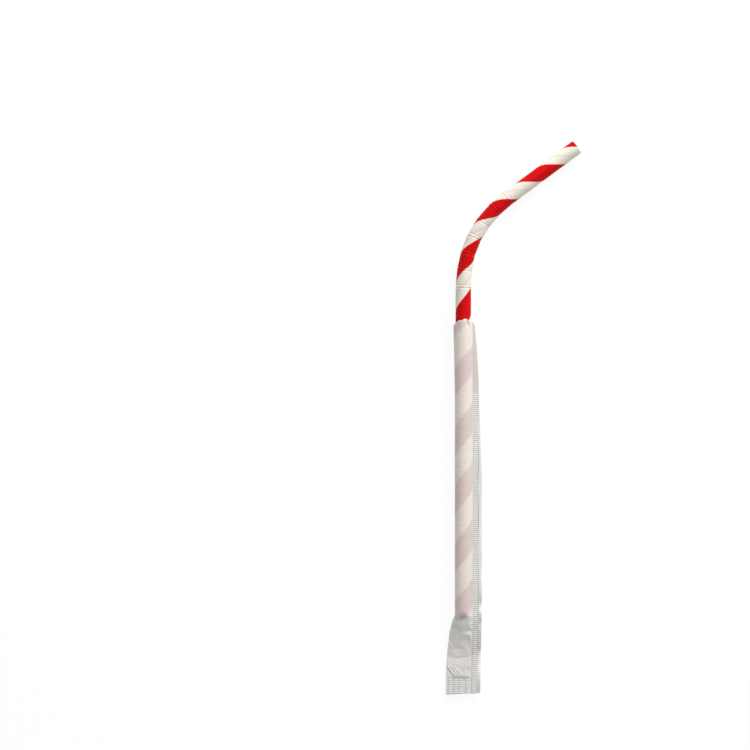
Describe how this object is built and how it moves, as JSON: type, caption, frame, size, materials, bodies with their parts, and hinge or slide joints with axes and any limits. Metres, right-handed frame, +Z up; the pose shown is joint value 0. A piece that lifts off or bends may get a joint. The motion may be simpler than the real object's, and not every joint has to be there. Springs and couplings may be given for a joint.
{
  "type": "wrapped drinking straw",
  "caption": "Bent paper drinking straw with spiral stripes and a creased neck, half out of its torn, side-sealed paper wrapper",
  "frame": {"origin": "under the middle of the whole outline, on the surface that the part lies on", "axes": "+Z up from the surface; +Y along the straight shank towards the bent tip; the tip bends towards +X"},
  "size_m": [0.0517, 0.2118, 0.0072],
  "materials": {
    "striped_paper": "smooth uncoated paper with a spiral red stripe on cream white",
    "wrapping_paper": "thin translucent white tissue-like paper with a pressed knurl on its seams"
  },
  "bodies": {
    "root": {"straw": "striped_paper", "wrapper": "wrapping_paper"}
  },
  "joints": []
}
